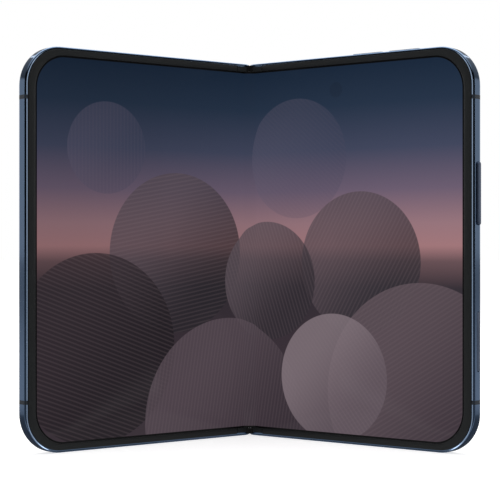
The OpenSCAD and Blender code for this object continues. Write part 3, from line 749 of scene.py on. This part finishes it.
def key(node, upright):
    """A key cap with a rounded edge, on the outer side (upright) or on the top edge."""
    points = flat_points(node, RIGHT)
    way = 0 if upright else 2
    top = max(p[way] for p in points)
    low, high = extent([p for p in points if p[way] > top - 10 * HAIR])
    centre = (low + high) / 2
    if upright:
        length = high.z - low.z

        def place(along, across, height):
            return folded(height, centre.y + across, centre.z + along, RIGHT)
    else:
        length = high.x - low.x

        def place(along, across, height):
            return folded(centre.x + along, centre.y + across, height, RIGHT)
    mesh = rounded_pill(node, length, high.y - low.y, top - KEY_DEPTH, top, KEY_EDGE_R, place)
    piece = new_piece(node + "_cap", mesh, materials["key"], "key")
    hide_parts(node)
    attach(piece, node)


# ---- rear cameras ----

ISLAND_EDGE_R = 0.55 * MM
WINDOW_GAP = 0.05 * MM  # between a window and the island
# Section of the ring about a window: outwards from the window's edge, and up from the island
RING_PROFILE = [
    (out * MM, rise * MM) for out, rise in (
        (0.0, -0.3), (0.0, 0.18), (0.12, 0.3), (0.5, 0.3), (0.72, 0.16), (0.8, -0.1), (0.8, -0.3)
    )
]


def cylinder_cutter(x, z, radius, y0, y1):
    """A closed cylinder along the flat depth of the right half."""
    sections = []
    for y in (y0, y1):
        ring = arc((x, z), radius, 0, 360, 64)[:-1]
        sections.append([folded(px, y, pz, RIGHT) for px, pz in ring])
    return bpy.data.objects.new("cutter", loft("cutter", sections))


def camera_island():
    """The island with a rounded edge, open over each window, and a polished ring about each."""
    points = flat_points("camera_island", RIGHT)
    top = max(p.y for p in points)
    low, high = extent([p for p in points if p.y > top - HAIR])
    middle = (low + high) / 2
    glass_y = min(p.y for p in flat_points("back_glass", RIGHT))

    def place(along, across, height):
        return folded(middle.x + along, height, middle.z + across, RIGHT)

    mesh = rounded_pill("camera_island", high.x - low.x, high.z - low.z, glass_y, top,
                        ISLAND_EDGE_R, place)
    piece = new_piece("camera_island_cap", mesh, materials["frame"], "frame")
    lenses = round_discs("rear_camera_windows")
    cut(piece, [
        cylinder_cutter(centre.x, centre.z, radius + WINDOW_GAP, glass_y - MM, top + MM)
        for centre, radius in lenses + round_discs("flash")
    ])
    soften(piece)
    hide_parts("camera_island")
    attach(piece, "right_half")
    for number, (centre, radius) in enumerate(lenses, start=1):
        sections = []
        for c, s in arc((0, 0), 1, 0, 360, 72)[:-1]:
            sections.append([
                folded(centre.x + (radius + out) * c, top + rise, centre.z + (radius + out) * s,
                       RIGHT)
                for out, rise in RING_PROFILE
            ])
        ring = new_piece(f"lens_ring_{number}", loft("lens_ring", sections, closed=True),
                         materials["frame"], "frame")
        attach(ring, "right_half")


# ---- materials by slot ----

materials = {
    "frame": grained("anodised_metal", linear(118, 142, 173), 0.08, metallic=1.0,
                     grain=0.08 * MM, depth=0.0003 * MM, tone=0.04),
    # the cut chamfer's polished metal, its colour a lighter copy of the band's metal as a painted highlight
    "polished_highlight_edge": grained("polished_highlight_edge", linear(184, 208, 240), 0.06, metallic=1.0,
                             depth=0.0002 * MM, tone=0.03),
    "antenna_plastic": grained("antenna_plastic", linear(40, 48, 58), 0.35),
    "bezel": grained("bezel_plastic", linear(40, 42, 43), 0.42, depth=0.003 * MM, tone=0.1,
                     specular=0.3, coat=0.15),
    "plate": grained("plate_steel", linear(196, 198, 200), 0.3, metallic=1.0),
    "fold_sheet": grained("spring_sheet", linear(196, 198, 200), 0.3, metallic=1.0),
    "seal": grained("seal_rubber", linear(13, 13, 14), 0.6, grain=0.15 * MM),
    "flex": grained("flex_film", linear(190, 120, 48), 0.3, coat=0.4),
    "back_glass": grained("satin_back_glass", linear(62, 78, 100), 0.3, grain=0.05 * MM,
                          depth=0.0015 * MM, tone=0.06, coat=0.35),
    "cover_glass": lens_material(
        "cover_glass", lens_axes("cover_camera", LEFT, back_y), 2 * MM, linear(10, 11, 13)),
    "cover_panel": grained("cover_panel", linear(10, 10, 12), 0.2),
    "steel": grained("machined_steel", linear(188, 190, 192), 0.28, metallic=1.0,
                     stretch=(1, 1, 0.2)),
    "clip": grained("spring_bronze", linear(202, 174, 112), 0.3, metallic=1.0),
    "lens_glass": lens_material(
        "lens_glass", lens_axes("rear_camera_windows", RIGHT, window_y), 4.95 * MM,
        linear(8, 8, 9)),
    "camera_module": grained("lens_barrel", linear(12, 13, 15), 0.35),
    "flash": flash_material(),
    "board": board_material(),
    "battery": grained("battery_pouch", linear(44, 45, 48), 0.38, grain=0.3 * MM, coat=0.2),
    "speaker": grained("speaker_plastic", linear(28, 28, 29), 0.5),
    "key": grained("key_metal", linear(88, 102, 126), 0.14, metallic=0.65, grain=0.08 * MM,
                   depth=0.0003 * MM, tone=0.04),
}
screens = {
    side: screen_material(f"screen_{SIDE_NAMES[side]}", unfolding(side)) for side in SIDE_NAMES
}
fold_screen = screen_material("screen_fold", stored_flat)


def dress_nodes():
    """Gives every CAD node the material of its slot."""
    for subpart in frame["record"]["subparts"]:
        node = subpart["node"]
        mesh = frame["nodes"][node].data
        mesh.materials.clear()
        slot = subpart["material_slot"]
        if slot == "screen":
            mesh.materials.append(screens[LEFT if node.endswith("left") else RIGHT])
        else:
            mesh.materials.append(materials[slot])


def build_pieces():
    """Makes the pieces that take the place of CAD nodes, and the rings about the windows."""
    view_top = 2 * mid_z - view_z
    camera_island()
    for side in SIDE_NAMES:
        bezel(side)
        polished("frame", side)
        polished("antenna_bands", side)
        fold_sheet("screen_fold", "display_fold", side, fold_zone, fold_zone, screen_y, plate_y,
                   view_z, view_top, fold_screen, "screen")
        fold_sheet("fold_backing", "display_fold_backing", side, fold_zone, fold_zone, plate_y,
                   floor_y, plate_low.z, plate_high.z, materials["fold_sheet"], "fold_sheet")
        fold_sheet("hinge_flex", "hinge_flex", side, FLEX_REACH, fold_zone,
                   *(pivot.y + depth for depth in FLEX_DEPTHS), flex_low.z, flex_high.z,
                   materials["flex"], "flex")
        for end, (z0, z1) in (
            ("lower", (seal_low.z, view_z)), ("upper", (view_top, seal_high.z))
        ):
            fold_sheet(f"fold_seal_{end}", "fold_seals", side, pivot.x, pivot.x,
                       *(front_y + depth for depth in SEAL_DEPTHS), z0, z1,
                       materials["seal"], "seal")
    key("power_key", True)
    key("camera_key", True)
    key("volume_up_key", False)
    key("volume_down_key", False)


# ---- studio ----

FLOOR_HALF = 8.0
FLOOR_GLOW = 0.66  # makes the floor white for the camera
PLAIN_LEVEL = 0.55  # of the world on rough surfaces
LAMP_PLACE = (0, 0.25, 0.75)
LAMP_SIDE = 1.0
LAMP_WATTS = 4.5


def floor():
    """A pale floor that the camera sees as white, and that keeps the phone's shadow."""
    side_reach, front_reach = cad_box[1][0], -cad_box[0][1]
    mesh = bpy.data.meshes.new("floor")
    corners = [(FLOOR_HALF * across, FLOOR_HALF * away, 0)
               for across, away in ((-1, -1), (1, -1), (1, 1), (-1, 1))]
    mesh.from_pydata(corners, [], [(0, 1, 2, 3)])
    material, g = new_graph("floor_paper")
    path = g.add("ShaderNodeLightPath")
    place = g.add("ShaderNodeSeparateXYZ", Vector=g.object_point())
    x, y = place.outputs["X"], place.outputs["Y"]
    aside = g.math("ABSOLUTE", x)
    # painted light for gloss only: the paper glows white in the distance behind the phone, under the strips that
    # run in front of each side and right at its foot; around it the paper is dimmer, a painted shade
    painted_lane = g.math("SUBTRACT", aside, g.math("MULTIPLY", y, 0.25))
    painted_lane = g.math("MULTIPLY", g.ramp(painted_lane, 0.09, 0.15, 1.0, 0.0), g.ramp(y, 0.3, 0.7))
    slope = g.math("DIVIDE", g.math("SUBTRACT", -front_reach, y),
                   g.math("ADD", aside, side_reach))
    strips = g.math("MULTIPLY", g.ramp(slope, 0.08, 0.15, 0.0, 0.9),
                    g.ramp(slope, 0.15, 0.21, 1.0, 0.0))
    # the foot, a painted light for gloss: the floor between the halves' lower edges, short of the outer corners
    within = g.math("ADD", y, g.math("MULTIPLY", aside, 2 * front_reach / side_reach))
    foot = g.math("MULTIPLY", g.ramp(within, front_reach, front_reach + MM, 0.45, 0.0),
                  g.ramp(aside, 0.88 * side_reach, 0.93 * side_reach, 1.0, 0.0))
    foot = g.math("MULTIPLY", foot, g.ramp(y, -1.4 * front_reach, -1.2 * front_reach))
    painted_gloss_light = g.math("MAXIMUM", painted_lane, g.math("MAXIMUM", strips, foot))
    gloss = path.outputs["Is Glossy Ray"]
    seen = g.math("ADD", g.math("MULTIPLY", gloss, painted_gloss_light),
                  g.math("ADD", path.outputs["Is Camera Ray"],
                         path.outputs["Is Transmission Ray"]))
    grain = g.noise(g.object_point(), 400.0)
    base = g.mix(grain, linear(228, 228, 229), linear(234, 234, 235))
    # painted shade for gloss: outside the lane the paper turns grey, darkest close round the phone
    painted_gloss_shade = g.math("MULTIPLY", gloss, g.math("SUBTRACT", 1.0, painted_lane))
    across = g.math("ADD", g.math("POWER", x, 2.0), g.math("POWER", y, 2.0))
    behind = g.math("MULTIPLY", g.ramp(across, 0.007, 0.03), g.ramp(y, -0.02, 0.04))
    around = g.mix(behind, linear(84, 87, 92), linear(172, 173, 176))
    base = g.mix(painted_gloss_shade, base, around)
    paper = g.add("ShaderNodeBsdfPrincipled", Base_Color=base, Roughness=0.9,
                  Specular_IOR_Level=0.1)
    glow = g.add("ShaderNodeEmission", Color=(1, 1, 1, 1),
                 Strength=g.math("MULTIPLY", seen, FLOOR_GLOW))
    both = g.add("ShaderNodeAddShader")
    g.feed(both.inputs[0], paper.outputs[0])
    g.feed(both.inputs[1], glow.outputs[0])
    g.finish(both.outputs[0])
    mesh.materials.append(material)
    plane = bpy.data.objects.new("floor", mesh)
    bpy.context.scene.collection.objects.link(plane)


def studio_world():
    """White for the camera, a lit surrounding for gloss, and plain light for the rest."""
    world = bpy.data.worlds.new("studio")
    bpy.context.scene.world = world
    world.use_nodes = True
    g = Graph(world.node_tree)
    path = g.add("ShaderNodeLightPath")
    way = g.add("ShaderNodeSeparateXYZ", Vector=g.add("ShaderNodeTexCoord").outputs["Generated"])
    x, y, z = (way.outputs[axis] for axis in "XYZ")
    # as gloss sees it: a low band behind that darkens to the sides, a bright strip a little in
    # front of each side, and a light ceiling, with a dark front
    turn = g.math("ADD", y, g.math("MULTIPLY", x, 0.06))
    wide = g.math("MULTIPLY", g.ramp(turn, 0.15, 0.95, 0.1, 1.0), g.ramp(y, -0.12, 0.12))
    strips = g.math("MULTIPLY", g.ramp(y, -0.25, -0.2, 0.0, 2.4),
                    g.ramp(y, -0.2, -0.15, 1.0, 0.18))
    height = g.math("ABSOLUTE", z)
    wide = g.math("MULTIPLY", wide, g.ramp(height, 0.12, 0.26, 1.0, 0.3))
    strips = g.math("MULTIPLY", strips, g.ramp(height, 0.2, 0.32, 1.0, 0.0))
    back = g.math("ADD", g.math("MAXIMUM", wide, strips), g.ramp(z, 0.5, 0.75, 0.01, 0.6))
    white = g.math("ADD", path.outputs["Is Camera Ray"], path.outputs["Is Transmission Ray"],
                   clamp=True)
    shown = g.level(white, g.level(path.outputs["Is Glossy Ray"], PLAIN_LEVEL, back), 1.0)
    backdrop = g.add("ShaderNodeBackground", Color=(1, 1, 1, 1), Strength=shown)
    g.finish(backdrop.outputs[0], "ShaderNodeOutputWorld")


def softbox():
    """One large lamp above and behind, aimed at the phone's middle."""
    data = bpy.data.lights.new("softbox_top", "AREA")
    data.shape = "RECTANGLE"
    data.size = data.size_y = LAMP_SIDE
    data.energy = LAMP_WATTS
    lamp = bpy.data.objects.new("softbox_top", data)
    lamp.location = LAMP_PLACE
    way = Vector((0, 0, 60 * MM)) - Vector(LAMP_PLACE)
    lamp.rotation_euler = way.to_track_quat("-Z", "Y").to_euler()
    bpy.context.scene.collection.objects.link(lamp)


dress_nodes()
build_pieces()
floor()
studio_world()
softbox()
